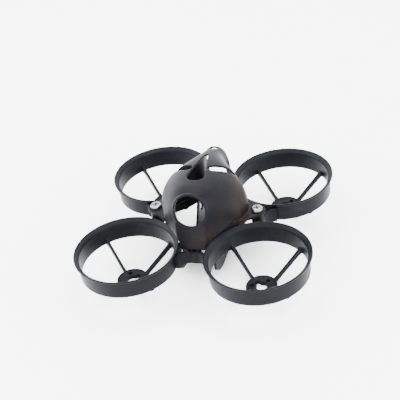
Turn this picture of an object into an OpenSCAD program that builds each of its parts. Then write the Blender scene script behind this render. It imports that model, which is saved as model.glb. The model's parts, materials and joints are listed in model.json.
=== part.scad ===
// Airframe and canopy of a small ducted racing quadcopter.
// The nose points along -Y, +X is to the right when facing the nose, and z = 0 is the
// underside of the motor mounts. The frame is one moulding and the canopy is another:
// each is split into named nodes by function. Two screws hold the canopy down.

/* [Layout] */
// Distance between neighbouring motor centres
motor_pitch = 46; // [44:0.5:56]
// Height of the ducts' lower edge above the underside of the motor mounts
duct_lift = 7.6; // [6.4:0.1:9.6]
// Distance from the frame's centre to each board lug
lug_offset = 18.38; // [17.6:0.01:22.4]

/* [Ducts] */
// Inner radius of a duct's wall
duct_bore_r = 16.45; // [13.7:0.05:17]
// Thickness of a duct's wall
duct_wall = 0.7; // [0.5:0.05:0.9]
// Height of a duct
duct_h = 7.45; // [6.2:0.05:9]
// How far the lip stands out from the wall
lip_reach = 1.05; // [0.8:0.05:1.3]
// Thickness of the lip at its rim
lip_t = 0.55; // [0.4:0.05:0.7]
// Height of the bell mouth
flare_h = 1.45; // [1.2:0.05:1.8]

/* [Spokes and motor mounts] */
// Thickness of a spoke
spoke_t = 0.9; // [0.7:0.05:1.1]
// Height of a spoke at the duct's wall
spoke_h = 2.2; // [1.8:0.1:2.8]
// Height of a spoke's upper edge above the duct's lower edge
spoke_rise = 1.7; // [1.4:0.1:2.6]
// Outer radius of a motor mount
mount_r = 5.4; // [5.2:0.1:6.5]
// Thickness of a motor mount
mount_t = 1.6; // [1.2:0.1:2]
// Radius of the hole for the motor's shaft and clip
shaft_hole_r = 2.0; // [1.6:0.05:2.1]
// Diameter of the circle of the motor's screws
motor_pcd = 6.6; // [6.4:0.1:7.6]
// Radius of a motor screw's hole
motor_hole_r = 0.8; // [0.6:0.05:0.85]
// Radius of the notch for the motor's wires
wire_notch_r = 0.95; // [0.7:0.05:1]

/* [Brackets] */
// Radius of a bracket's hollow outer face
bracket_r = 4.7; // [4.4:0.1:7]
// Least distance from a lug's axis to the bracket behind it
lug_bed = 0.85; // [0.6:0.01:1.4]
// Thickness of a bracket's wall
bracket_t = 0.9; // [0.7:0.05:1.2]
// Height of a bracket's wall at its middle
bracket_h = 4.1; // [3.2:0.1:4.6]
// Gap between the ducts' lower edge and a bracket's lower edge
bracket_raise = 0.4; // [0:0.1:0.8]
// Radius of the saddle along a bracket's upper edge
saddle_r = 6.8; // [6:0.1:9]
// Depth of the web that holds a lug to its bracket
lug_web_h = 2.1; // [1.5:0.1:3]

/* [Lugs and screws] */
// Outer radius of a lug
lug_r = 2.3; // [2:0.05:2.6]
// Height of a side lug
side_lug_h = 5.2; // [4:0.1:6]
// Height of the front and rear lugs
end_lug_h = 3.6; // [2.8:0.1:4]
// Radius of the canopy screws' shank
screw_r = 1.0; // [0.8:0.05:1.25]
// Length of the canopy screws' shank
screw_len = 5; // [4:0.5:6]
// Radius of the canopy screws' head
screw_head_r = 2.05; // [1.8:0.05:2.3]
// Height of the canopy screws' head
screw_head_h = 1.2; // [0.9:0.05:1.5]

/* [Battery tray] */
// Width of the battery slot
tray_w = 12.4; // [10.3:0.1:13]
// Thickness of the tray's sides
tray_t = 0.8; // [0.6:0.05:1]
// Thickness of the tray's straps
strap_t = 0.8; // [0.6:0.05:1]
// Length of a strap along the slot
strap_len = 4; // [3:0.5:5]
// Distance from the middle to a strap
strap_y = 9; // [7:0.5:9.5]
// Height of the tray's sides in their middle
tray_rail = 4; // [3:0.1:4.6]
// How far the sides' ends reach up the ducts
tray_lift = 4; // [3:0.1:4.4]
// Half length of the sides' low middle
tray_scoop = 5.8; // [4.5:0.1:6.5]
// Place along the sides where they are at their full height
tray_ledge = 12; // [11:0.1:13]
// Radius of the round window near each end of a side
tray_window_r = 1.5; // [1:0.1:1.8]
// Distance from the middle to that window
tray_window_y = 13.6; // [13:0.1:14.4]

/* [Canopy] */
// Length of the canopy at its base
canopy_len = 40.4; // [38.6:0.1:41]
// Distance from the middle forwards to the canopy's nose
canopy_lead = 19.6; // [18.6:0.1:20.4]
// Largest width of the canopy, across the middle
canopy_w = 30.6; // [26:0.1:32]
// Width of the canopy's nose
nose_w = 10.6; // [9:0.1:12]
// Width of the canopy's tail
tail_w = 9.6; // [8.4:0.1:10]
// Distance from the middle backwards to where the tail runs straight
tail_start = 18.2; // [16:0.1:18.6]
// Height of the canopy's base above the ducts' lower edge
canopy_base = 5.3; // [5.1:0.1:5.8]
// Height of the canopy's crown above its base
canopy_h = 20.9; // [18:0.1:25.1]
// Distance from the middle forwards to the crown's highest place
crown_lead = 10.5; // [9:0.1:12]
// How much lower the nose is than the crown
nose_drop = 3.7; // [3:0.1:4.4]
// How much lower the tail is than the crown
tail_drop = 5.0; // [4:0.1:5.4]
// Thickness of the canopy's shell
shell_t = 0.8; // [0.6:0.05:1]
// Radius of the camera opening
camera_hole_r = 5.4; // [4.5:0.05:5.6]
// Width of the rim round the camera opening
camera_rim_w = 0.8; // [0.5:0.05:1]
// How far that rim stands proud of the shell
camera_rim_proud = 0.35; // [0.2:0.05:0.5]
// Height of the camera opening's centre above the canopy's base
camera_z = 14.8; // [13.8:0.1:15]
// Upward tilt of the camera opening
camera_tilt = 18; // [10:1:25]
// Radius of the crown vent's round end
vent_r = 3.1; // [2.2:0.1:3.4]
// Distance from the middle forwards to that end's centre
vent_lead = 5.0; // [0.8:0.1:6]
// Distance from the middle backwards to the vent's point
vent_tail = 10; // [8:0.1:11]
// Length of a side vent between the centres of its ends
louvre_len = 6.2; // [3.5:0.1:6.8]
// Width of a side vent
louvre_w = 2.8; // [1.6:0.1:3]
// Turn of a side vent from the canopy's cross direction
louvre_turn = 31; // [10:1:40]
// Distance from the middle backwards to the aerial hole
aerial_hole_y = 18.6; // [17.6:0.1:18.8]
// Radius of that hole
aerial_hole_r = 1.5; // [1:0.1:1.8]
// Thickness of the canopy's ears
ear_t = 1.1; // [0.9:0.05:1.4]
// Outer radius of an ear's tip
ear_r = 3.0; // [2.6:0.05:3.3]

/* [Clearances] */
// Running gap between a canopy screw and its lug
thread_gap = 0.05; // [0.02:0.01:0.1]
// Gap round a canopy screw in an ear
ear_hole_gap = 0.15; // [0.1:0.01:0.25]
// Gap under an ear and under a screw's head
seat_gap = 0.1; // [0.05:0.01:0.15]
// Gap between the canopy and a duct's lip
lip_gap = 0.4; // [0.3:0.05:0.5]

/* [Hidden] */
$fn = 96;
eps = 0.02;
CORNERS = [["front_left", -1, -1], ["front_right", 1, -1], ["rear_left", -1, 1], ["rear_right", 1, 1]];

half = motor_pitch / 2;
duct_r = duct_bore_r + duct_wall;            // outer radius of a duct's wall
lip_r = duct_r + lip_reach;
duct_top = duct_lift + duct_h;
keep_out_r = lip_r + lip_gap;                // what the canopy keeps clear of
// Where a bracket's arc meets both ducts, and the centre it gets, never nearer than its lug allows
bracket_touch = half + sqrt(max(0, pow(duct_r + bracket_r - eps, 2) - half * half));
bracket_c = max(bracket_touch, lug_offset + lug_bed + bracket_t + bracket_r);
bracket_end = bracket_c - 1;                  // where the wall ends inside the ducts' outline
bracket_z = duct_lift + bracket_raise;
saddle_z = bracket_z + bracket_h;
bracket_top = duct_top - flare_h - eps;      // where a bracket meets the bell mouth
lug_top = duct_top - 0.05;                   // top of the side lugs
end_lug_top = duct_lift + canopy_base - lip_gap;
ear_z = lug_top + seat_gap;
head_z = ear_z + ear_t + seat_gap / 2;
lug_hole_r = screw_r + thread_gap;
tray_x = tray_w / 2;
tray_tip = lug_offset - 2.7;                 // foremost place of the sides' lower edge
tray_joint = half - 3.6;                     // where the sides meet the ducts
base_z = duct_lift + canopy_base;
waist_z = 5.5;                               // height of the canopy's widest level above its base
skirt_z = duct_top + lip_gap - base_z;       // height up to which the skirt keeps inside the ducts' lips
canopy_nose = -canopy_lead;                  // foremost place of the base
canopy_tail = canopy_nose + canopy_len;

// ---------- placing ----------

// Mirrors a child made for the right rear quarter into the quarter (sx, sy).
module to_quarter(sx, sy) {
    mirror([sx < 0 ? 1 : 0, 0, 0]) mirror([0, sy < 0 ? 1 : 0, 0]) children();
}

// Turns a child made on the +Y side to the side at this angle.
module to_side(angle) {
    rotate([0, 0, angle]) children();
}

// The outsides of the four ducts, as a cutter.
module duct_cutter(r, z0, z1) {
    for (c = CORNERS)
        translate([c[1] * half, c[2] * half, z0]) cylinder(r = r, h = z1 - z0);
}

// ---------- frame ----------

// Wall, bell mouth and lip of one duct, turned about its own axis.
module duct(sx, sy) {
    mouth = duct_h - flare_h;
    color("#2b2c33")
    translate([sx * half, sy * half, duct_lift])
    rotate_extrude($fn = 144)
    polygon([
        [duct_bore_r, 0], [duct_r, 0], [duct_r, mouth], [duct_r + lip_reach * 0.35, mouth + flare_h * 0.42],
        [lip_r, duct_h - lip_t], [lip_r, duct_h], [lip_r - 0.3, duct_h],
        [duct_bore_r + lip_reach * 0.75, duct_h - lip_t],
        [duct_bore_r + lip_reach * 0.2, mouth + flare_h * 0.3],
        [duct_bore_r, mouth]
    ]);
}

// One spoke, from the motor mount up to the duct's wall, along +X.
module spoke() {
    run = duct_bore_r + duct_wall / 2;
    root = mount_r - 1;                      // inside the mount, which trims it
    rotate([90, 0, 0])
    translate([0, 0, -spoke_t / 2])
    linear_extrude(spoke_t)
    polygon([
        [root, 0], [root, mount_t], [mount_r, mount_t],
        [run, duct_lift + spoke_rise], [run, duct_lift + spoke_rise - spoke_h], [mount_r + 0.4, 0]
    ]);
}

// The four spokes of one duct, trimmed to the mount and to the wall.
module spokes(sx, sy) {
    color("#26272c")
    translate([sx * half, sy * half, 0])
    difference() {
        intersection() {
            union() { for (a = [45:90:315]) rotate([0, 0, a]) spoke(); }
            cylinder(r = duct_bore_r, h = duct_lift + duct_h);
        }
        translate([0, 0, -1]) cylinder(r = mount_r, h = mount_t + 2);
    }
}

// The plate that a motor stands on, with its screw holes and wire notch.
module motor_mount(sx, sy) {
    color("#232428")
    to_quarter(sx, sy)
    translate([half, half, 0])
    difference() {
        cylinder(r = mount_r, h = mount_t);
        translate([0, 0, -1]) cylinder(r = shaft_hole_r, h = mount_t + 2);
        for (a = [60:120:300])
            rotate([0, 0, a]) translate([motor_pcd / 2, 0, -1])
            cylinder(r = motor_hole_r, h = mount_t + 2, $fn = 48);
        rotate([0, 0, 225]) translate([shaft_hole_r + wire_notch_r * 0.4, 0, -1])
            cylinder(r = wire_notch_r, h = mount_t + 2, $fn = 48);
    }
}

// A curved wall that joins two ducts, on the +Y side, with webs where the ducts stand further apart.
module bracket_body() {
    difference() {
        union() {
            translate([0, bracket_c, bracket_z])
                cylinder(r = bracket_r + bracket_t, h = bracket_top - bracket_z);
            translate([-half, bracket_end - bracket_t, bracket_z])
                cube([motor_pitch, bracket_t, bracket_top - bracket_z]);
        }
        translate([0, bracket_c, 0]) cylinder(r = bracket_r, h = duct_top + 1);
        translate([-half - 1, bracket_end, 0]) cube([motor_pitch + 2, 3 * bracket_r, duct_top + 1]);
        duct_cutter(duct_r, 0, duct_top + 1);
        translate([0, 0, saddle_z + saddle_r]) rotate([-90, 0, 0]) cylinder(r = saddle_r, h = bracket_c);
    }
}

// A bracket turned to its side, with room for the lug that is let into it.
module bracket(angle, top, height) {
    color("#292a31")
    to_side(angle)
    difference() {
        bracket_body();
        translate([0, lug_offset, top - height]) cylinder(r = lug_r, h = height);
    }
}

// A lug with its screw hole, on the +Y side, and the web that ties it to the bracket.
module lug(angle, top, height) {
    web_z = saddle_z - lug_web_h;
    color("#1f2024")
    to_side(angle)
    difference() {
        union() {
            translate([0, lug_offset, top - height]) cylinder(r = lug_r, h = height);
            difference() {
                translate([-lug_r, lug_offset, web_z])
                    cube([2 * lug_r, bracket_c - bracket_r - lug_offset, saddle_z - web_z]);
                translate([0, bracket_c, 0]) cylinder(r = bracket_r + bracket_t, h = duct_top + 1);
            }
        }
        translate([0, lug_offset, 0]) cylinder(r = lug_hole_r, h = duct_top + 1);
        duct_cutter(duct_r, 0, duct_top + 1);
        duct_cutter(lip_r + 0.1, bracket_top, duct_top + 1);
    }
}

// A side of the battery tray: low in its middle, high where it meets the ducts or the brackets.
module tray_side(sx) {
    high = duct_lift + tray_lift;
    keel = tray_tip - 6.2;                   // where the lower edge starts to rise
    end = [
        [keel, 0], [keel + 3, 0.5], [tray_tip, 1.4], [tray_joint, duct_lift - 3], [tray_joint, bracket_z],
        [half, bracket_z], [half, high], [tray_ledge, high], [tray_ledge - 1, high - 1.1],
        [lerp(tray_scoop, tray_ledge, 0.56), duct_lift - 0.2], [tray_scoop, tray_rail]
    ];
    color("#24252a")
    mirror([sx < 0 ? 1 : 0, 0, 0])
    difference() {
        union() {
            translate([tray_x, 0, 0])
            rotate([90, 0, 90])
            linear_extrude(tray_t)
            difference() {
                polygon(concat(end, [for (i = [len(end) - 1:-1:0]) [-end[i][0], end[i][1]]]));
                for (s = [-1, 1]) translate([s * tray_window_y, duct_lift - 0.6])
                    circle(r = tray_window_r, $fn = 48);
            }
            // Webs that reach the ducts' walls
            for (s = [-1, 1]) translate([tray_x, s * (tray_joint - tray_t / 2) - tray_t / 2, duct_lift])
                cube([half - tray_x, tray_t, tray_lift]);
        }
        duct_cutter(duct_r, duct_lift, duct_top + 1);
        duct_cutter(duct_bore_r, -1, duct_lift);
        for (a = [0, 180]) to_side(a) {
            translate([0, bracket_c, 0]) cylinder(r = bracket_r + bracket_t, h = duct_top);
            translate([-half, bracket_end - bracket_t, 0]) cube([motor_pitch, half, duct_top]);
        }
    }
}

// A strap under the battery, between the tray's sides.
module tray_strap(sy) {
    color("#24252a")
    difference() {
        translate([-tray_x, sy * strap_y - strap_len / 2, 0]) cube([tray_w, strap_len, strap_t]);
        translate([0, sy * strap_y, -1]) cylinder(r = strap_len / 4, h = strap_t + 2, $fn = 48);
    }
}

// ---------- canopy ----------

VENT_POINT_R = 0.5;    // radius of the crown vent's point
LOUVRE_AT = [6.85, 2.25];  // middle of a side vent
CAMERA_CUT = 12;       // depth of the camera opening's cut
EAR_ROOT = [8, 9.6];   // where an ear springs from inside the canopy
EAR_NECK = [12.6, 7.6];  // where its edge leaves the canopy
LEAN = 2.2;            // how far the nose's top leans back
RISE = 12;             // facets from the waist to the crown
RINGS = 36;            // rings along the canopy
CROWDING = 1.6;        // how closely the rings crowd towards the nose
LEAN_SHARE = 0.3;      // share of the length over which the lean dies out
SWELL = 1.6;           // fullness of the plan from the nose to the middle
SLOPE = 2.4;           // how late the crown's slope to the tail sets in
SQUARE_MID = 2.05;      // squareness of the cross-section in the middle
SQUARE_END = 2.5;      // and at both ends
DROP = 1;              // how far the forms reach below the base before they are cut level

function lerp(a, b, t) = a + (b - a) * t;
// Half width at y: swelling from the nose to the middle, then a half wave down to the tail.
function half_width(y) =
    y < 0 ? lerp(nose_w, canopy_w, 1 - pow(min(1, y / canopy_nose), SWELL)) / 2
          : lerp(tail_w, canopy_w, (1 + cos(180 * min(1, y / tail_start))) / 2) / 2;
// Height of the crown at y: a quarter ellipse over the nose and a slope back to the tail.
function crown_height(y) =
    let (s = (-crown_lead - y) / (canopy_lead - crown_lead),
         t = (y + crown_lead) / (canopy_tail + crown_lead))
    canopy_h - (s > 0 ? nose_drop * (1 - sqrt(max(0, 1 - s * s))) : tail_drop * pow(t, SLOPE));
// Squareness of the dome's cross-section at y.
function squareness(y) = lerp(SQUARE_MID, SQUARE_END, min(1, abs(y) / canopy_lead));
// Half width that keeps inside the ducts' lips at this place along the canopy.
function lip_limit(y) =
    let (d = half - abs(y), s = keep_out_r * keep_out_r - d * d)
    s > 0 ? half - sqrt(s) : canopy_w;
// One ring of the canopy, from its right base over the crown to its left base, moved inwards by off.
function ring(t, off) =
    let (
        u = pow(t, CROWDING),
        y0 = canopy_nose + off + u * (canopy_len - off),
        y = canopy_nose + u * canopy_len,
        w = half_width(y) - off,
        crown = crown_height(y) - off,
        power = 2 / squareness(y),
        foot = min(w, lip_limit(y0) - max(off, 0)),
        slope = LEAN * pow(max(0, 1 - u / LEAN_SHARE), 2) / canopy_h,
        half_ring = concat(
            [[foot, -DROP], [foot, skirt_z * 0.55], [lerp(foot, w, 0.12), skirt_z],
             [lerp(foot, w, 0.6), (skirt_z + waist_z) / 2]],
            [for (i = [0:RISE]) let (a = 90 * i / RISE)
                [w * pow(max(0, cos(a)), power), waist_z + (crown - waist_z) * pow(sin(a), power)]]
        ),
        n = len(half_ring)
    )
    [for (i = [0:2 * n - 2]) let (p = half_ring[i < n ? i : 2 * n - 2 - i])
        [(i < n ? 1 : -1) * p[0], y0 + slope * p[1], base_z + p[1]]];
// Closed solid through the rings, reaching DROP below the base; grow lengthens its tail.
module loft(off, grow = 0) {
    steps = RINGS;
    rings = [for (j = [0:steps]) [for (p = ring(j / steps, off)) p + [0, j == steps ? grow : 0, 0]]];
    n = len(rings[0]);
    front = (rings[0][0] + rings[0][n - 1]) / 2 * 0.5 + rings[0][(n - 1) / 2] * 0.5;
    back = (rings[steps][0] + rings[steps][n - 1]) / 2 * 0.5 + rings[steps][(n - 1) / 2] * 0.5;
    points = concat([for (r = rings) for (p = r) p], [front, back]);
    last = (steps + 1) * n;
    faces = [for (i = [0:n - 1]) let (k = (i + 1) % n) each concat(
        [[last, k, i], [last + 1, steps * n + i, steps * n + k]],
        [for (j = [0:steps - 1]) each [[j * n + i, (j + 1) * n + k, (j + 1) * n + i],
                                       [j * n + i, j * n + k, (j + 1) * n + k]]])];
    polyhedron(points, faces, convexity = 6);
}

// The outer form of the canopy, cut level at its base.
module canopy_form(off = 0) {
    difference() {
        loft(off);
        translate([-canopy_w, -canopy_len, base_z - 3 * DROP]) cube([2 * canopy_w, 2 * canopy_len, 3 * DROP]);
    }
}

// Moves a child drawn about +Z to the camera opening, facing forwards.
module at_camera() {
    translate([0, canopy_nose + 1.6, base_z + camera_z])
    rotate([90 - camera_tilt, 0, 0]) children();
}

// Teardrop vent on the crown, as an outline.
module vent_outline() {
    hull() {
        translate([0, -vent_lead]) circle(r = vent_r, $fn = 32);
        translate([0, vent_tail]) circle(r = VENT_POINT_R, $fn = 16);
    }
}

// Space that the canopy leaves round the rear bracket's wall and its saddle.
module bracket_clearance() {
    difference() {
        translate([0, bracket_c, 0])
            cylinder(r = bracket_r + bracket_t + lip_gap, h = bracket_top + lip_gap);
        translate([0, 0, saddle_z + saddle_r]) rotate([-90, 0, 0])
            cylinder(r = saddle_r - lip_gap, h = bracket_c + bracket_end);
    }
}

// The domed shell, open below and behind.
module canopy_shell() {
    color("#33333b")
    difference() {
        canopy_form();
        loft(shell_t, 1);
        at_camera() translate([0, 0, -CAMERA_CUT / 3])
            cylinder(r = camera_hole_r + camera_rim_w, h = CAMERA_CUT);
        translate([0, 0, base_z + waist_z]) linear_extrude(canopy_h) vent_outline();
        for (s = [-1, 1])
            translate([s * LOUVRE_AT[0], LOUVRE_AT[1], base_z + canopy_h / 2]) rotate([0, 0, s * louvre_turn])
            linear_extrude(canopy_h) union() {
                square([louvre_len, louvre_w], center = true);
                for (e = [-1, 1]) translate([e * louvre_len / 2, 0]) circle(r = louvre_w / 2, $fn = 32);
            }
        translate([0, aerial_hole_y, base_z + waist_z])
            cylinder(r = aerial_hole_r, h = canopy_h, $fn = 32);
        bracket_clearance();
    }
}

// The raised rim round the camera opening.
module camera_rim() {
    color("#2a2a31")
    intersection() {
        difference() {
            loft(-camera_rim_proud);
            loft(shell_t, 1);
        }
        at_camera() translate([0, 0, -CAMERA_CUT / 3]) difference() {
            cylinder(r = camera_hole_r + camera_rim_w, h = CAMERA_CUT);
            translate([0, 0, -1]) cylinder(r = camera_hole_r, h = CAMERA_CUT + 2);
        }
    }
}

// An ear of the canopy, which a screw clamps to the side lug.
module canopy_ear(sx) {
    color("#28282e")
    mirror([sx < 0 ? 1 : 0, 0, 0])
    difference() {
        translate([0, 0, ear_z]) linear_extrude(ear_t) difference() {
            union() {
                translate([lug_offset, 0]) circle(r = ear_r);
                polygon([EAR_ROOT, [EAR_ROOT[0], -EAR_ROOT[1]], [EAR_NECK[0], -EAR_NECK[1]],
                         [lug_offset + 1.2, -ear_r * 0.92], [lug_offset + 1.2, ear_r * 0.92], EAR_NECK]);
            }
            for (s = [-1, 1]) translate([half, s * half]) circle(r = keep_out_r);
            translate([lug_offset, 0]) circle(r = screw_r + ear_hole_gap);
        }
        loft(0);
    }
}

// ---------- screws ----------

// A cross-head pan screw, standing on the ear.
module screw(sx) {
    shank_z = head_z - screw_len;
    color("#b9bbbf")
    translate([sx * lug_offset, 0, 0])
    difference() {
        union() {
            translate([0, 0, shank_z]) cylinder(r = screw_r, h = screw_len + 0.1);
            translate([0, 0, head_z]) rotate_extrude() polygon([
                [0, 0], [screw_head_r, 0], [screw_head_r, screw_head_h * 0.35],
                [screw_head_r * 0.93, screw_head_h * 0.7], [screw_head_r * 0.72, screw_head_h * 0.93],
                [screw_head_r * 0.45, screw_head_h], [0, screw_head_h]
            ]);
        }
        for (a = [0, 90]) translate([0, 0, head_z + screw_head_h * 0.45]) rotate([0, 0, a + 20])
            translate([-screw_head_r * 0.55, -0.22, 0]) cube([screw_head_r * 1.1, 0.44, screw_head_h]);
    }
}

// ---------- assembly ----------

for (c = CORNERS) {
    duct(c[1], c[2]);
    spokes(c[1], c[2]);
    motor_mount(c[1], c[2]);
}
bracket(180, end_lug_top, end_lug_h);  // bracket_front
bracket(0, end_lug_top, end_lug_h);  // bracket_rear
bracket(90, lug_top, side_lug_h);  // bracket_left
bracket(-90, lug_top, side_lug_h);  // bracket_right
lug(180, end_lug_top, end_lug_h);  // lug_front
lug(0, end_lug_top, end_lug_h);  // lug_rear
lug(90, lug_top, side_lug_h);  // lug_left
lug(-90, lug_top, side_lug_h);  // lug_right
tray_side(-1);  // tray_side_left
tray_side(1);  // tray_side_right
tray_strap(-1);  // tray_strap_front
tray_strap(1);  // tray_strap_rear
canopy_shell();
camera_rim();
canopy_ear(-1);  // canopy_ear_left
canopy_ear(1);  // canopy_ear_right
screw(-1);  // screw_left
screw(1);  // screw_right
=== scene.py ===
"""Looks of a small ducted quadcopter airframe: ducts, brackets, battery tray, canopy and screws.

Shapes are worked out in millimetres and settled in metres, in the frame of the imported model.
"""

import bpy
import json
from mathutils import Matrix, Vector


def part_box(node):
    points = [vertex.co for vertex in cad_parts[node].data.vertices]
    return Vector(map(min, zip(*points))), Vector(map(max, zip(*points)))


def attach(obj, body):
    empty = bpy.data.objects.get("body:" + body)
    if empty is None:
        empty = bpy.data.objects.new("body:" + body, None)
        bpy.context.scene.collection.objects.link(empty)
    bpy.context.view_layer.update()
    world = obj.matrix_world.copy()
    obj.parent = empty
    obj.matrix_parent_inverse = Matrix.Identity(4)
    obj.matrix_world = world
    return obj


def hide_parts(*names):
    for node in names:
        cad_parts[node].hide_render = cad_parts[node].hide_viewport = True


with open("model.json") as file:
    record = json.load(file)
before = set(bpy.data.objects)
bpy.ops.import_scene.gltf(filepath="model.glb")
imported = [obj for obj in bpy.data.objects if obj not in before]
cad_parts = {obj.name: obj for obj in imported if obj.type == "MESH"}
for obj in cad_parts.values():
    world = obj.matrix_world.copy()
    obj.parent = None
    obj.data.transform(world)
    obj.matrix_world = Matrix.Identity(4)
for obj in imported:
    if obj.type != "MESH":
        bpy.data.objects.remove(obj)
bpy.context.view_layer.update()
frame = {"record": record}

import json
import logging
import math
from collections.abc import Callable, Sequence
from dataclasses import dataclass
from enum import Enum

import bmesh
import bpy
import numpy as np
from mathutils import Matrix, Vector

MM = 0.001
WELD = 1e-4
SLIVER = 1e-5
MARGIN = 1.0
CORNER_SHARE = 0.48
SMOOTHING = 0.5
SEAT_GAP = 0.05
OVERRUN = 0.01
CREASE = 80.0
PASSES = 3
EASE_STEPS = 5
DRILL_TURNS = 48
LOG = logging.getLogger("airframe")

Colour = tuple[float, float, float, float]
Outline = list[tuple[float, float]]
Piece = bpy.types.Object
Material = bpy.types.Material


class Slot(Enum):
    """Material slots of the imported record."""

    FRAME = "frame_plastic"
    CANOPY = "canopy_plastic"
    SCREW = "screw_steel"


class Corner(Enum):
    """The four ducts, by the signs of their centres."""

    FRONT_LEFT = (-1, -1)
    FRONT_RIGHT = (1, -1)
    REAR_LEFT = (-1, 1)
    REAR_RIGHT = (1, 1)

    @property
    def label(self) -> str:
        """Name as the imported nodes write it."""
        return self.name.lower()


class Side(Enum):
    """The four brackets, by the turn from the rear one in degrees."""

    FRONT = 180
    REAR = 0
    LEFT = 90
    RIGHT = -90

    @property
    def label(self) -> str:
        """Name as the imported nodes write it."""
        return self.name.lower()


# ---------- mesh making, in millimetres ----------


def link(name: str, data: bpy.types.ID) -> Piece:
    """Makes an object from its data and links it to the scene.

    Args:
        name: name of the new object.
        data: its mesh, light or camera.

    Returns:
        The object.
    """
    made = bpy.data.objects.new(name, data)
    bpy.context.scene.collection.objects.link(made)
    return made


def place(name: str, points: Sequence, faces: Sequence) -> Piece:
    """Makes a closed mesh object whose faces point outwards.

    Args:
        name: name of the new object.
        points: corner points.
        faces: corner numbers of each face.

    Returns:
        The linked object.
    """
    mesh = bpy.data.meshes.new(name)
    mesh.from_pydata([tuple(map(float, p)) for p in points], [], faces)
    edit = bmesh.new()
    edit.from_mesh(mesh)
    bmesh.ops.remove_doubles(edit, verts=edit.verts, dist=WELD)
    bmesh.ops.dissolve_degenerate(edit, edges=edit.edges, dist=SLIVER)
    bmesh.ops.recalc_face_normals(edit, faces=edit.faces)
    edit.to_mesh(mesh)
    edit.free()
    return link(name, mesh)


def freeze(piece: Piece) -> None:
    """Turns a piece and its modifiers into a plain mesh."""
    bpy.context.view_layer.update()
    seen = piece.evaluated_get(bpy.context.evaluated_depsgraph_get())
    mesh = bpy.data.meshes.new_from_object(seen)
    piece.modifiers.clear()
    old, piece.data = piece.data, mesh
    bpy.data.meshes.remove(old)


def cut(piece: Piece, tool: Piece, operation: str = "DIFFERENCE", keep: bool = False) -> None:
    """Cuts a piece with a tool.

    Args:
        piece: the piece that is changed.
        tool: the closed mesh that cuts it.
        operation: DIFFERENCE, INTERSECT or UNION.
        keep: whether the tool is used again.
    """
    step = piece.modifiers.new("Cut", "BOOLEAN")
    step.object, step.operation, step.solver = tool, operation, "EXACT"
    freeze(piece)
    if not keep:
        bpy.data.objects.remove(tool)


def loft(name: str, loops: Sequence, ring: bool = False) -> Piece:
    """Joins closed loops of equal length into a solid.

    Args:
        name: name of the new object.
        loops: the loops, in order.
        ring: whether the last loop joins the first; otherwise both ends are capped.

    Returns:
        The solid.
    """
    count, size = len(loops), len(loops[0])
    faces = []
    for j in range(count if ring else count - 1):
        a, b = j * size, (j + 1) % count * size
        faces += [(a + i, a + (i + 1) % size, b + (i + 1) % size, b + i) for i in range(size)]
    if not ring:
        faces += [tuple(range(size))[::-1], tuple(range((count - 1) * size, count * size))]
    return place(name, [p for loop in loops for p in loop], faces)


def fillet(outline: Outline, radius: float, steps: int = 4) -> Outline:
    """Rounds every corner of a closed outline.

    Args:
        outline: corner points.
        radius: reach of the rounding along each edge.
        steps: stretches in one corner.

    Returns:
        The rounded outline.
    """
    rounded = []
    for i, corner in enumerate(outline):
        here = np.array(corner, float)
        ends = []
        for other in (outline[i - 1], outline[(i + 1) % len(outline)]):
            away = np.array(other, float) - here
            length = np.linalg.norm(away)
            ends.append(here + away / length * min(radius, CORNER_SHARE * length))
        for t in np.linspace(0, 1, steps + 1):
            rounded.append(tuple((1 - t) ** 2 * ends[0] + 2 * t * (1 - t) * here + t * t * ends[1]))
    return rounded


def sweep(start: float, span: float, steps: int) -> list[float]:
    """Even angles over a span, with both ends."""
    return [start + span * k / steps for k in range(steps + 1)]


def arc_points(radius: float, at: tuple[float, float], angles: Sequence[float]) -> Outline:
    """Points of an arc at these angles."""
    return [(at[0] + radius * math.cos(a), at[1] + radius * math.sin(a)) for a in angles]


def spin(outline: Outline, angle: float, at: tuple[float, float] = (0.0, 0.0)) -> Outline:
    """Turns an outline about the origin, then moves it."""
    c, s = math.cos(angle), math.sin(angle)
    return [(at[0] + c * x - s * y, at[1] + s * x + c * y) for x, y in outline]


def lathe(name: str, profile: Outline, steps: int, at: tuple[float, float] = (0.0, 0.0)) -> Piece:
    """Turns a closed profile of radius and height about an upright axis.

    Args:
        name: name of the new object.
        profile: closed profile.
        steps: stretches round the turn.
        at: place of the axis.

    Returns:
        The turned solid.
    """
    turns = sweep(0, 2 * math.pi, steps)[:-1]
    loops = [[(at[0] + r * math.cos(a), at[1] + r * math.sin(a), z) for r, z in profile] for a in turns]
    return loft(name, loops, ring=True)


def prism(name: str, outline: Outline, low: float, high: float) -> Piece:
    """Raises an outline from one height to another."""
    return loft(name, [[(x, y, z) for x, y in outline] for z in (low, high)])


def circle(radius: float, at: tuple[float, float] = (0.0, 0.0), steps: int = 64) -> Outline:
    """Points of a circle."""
    return arc_points(radius, at, sweep(0, 2 * math.pi, steps)[:-1])


def drill(radius: float, low: float, high: float, at: tuple[float, float], flare: float = 0.0) -> Piece:
    """Makes a tool for a round hole whose two mouths are eased.

    Args:
        radius: radius of the hole.
        low: height of the lower mouth.
        high: height of the upper mouth.
        at: place of the axis.
        flare: how far the mouths open out.

    Returns:
        The tool.
    """
    arc = sweep(0, math.pi / 2, EASE_STEPS)
    lower = [(radius + flare * (1 - math.sin(a)), low + flare * (1 - math.cos(a))) for a in arc]
    upper = [(r, low + high - z) for r, z in reversed(lower)]
    stations = [(radius + flare, low - MARGIN), *lower, *upper, (radius + flare, high + MARGIN)]
    return loft("drill", [[(x, y, z) for x, y in circle(r, at, DRILL_TURNS)] for r, z in stations])


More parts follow.
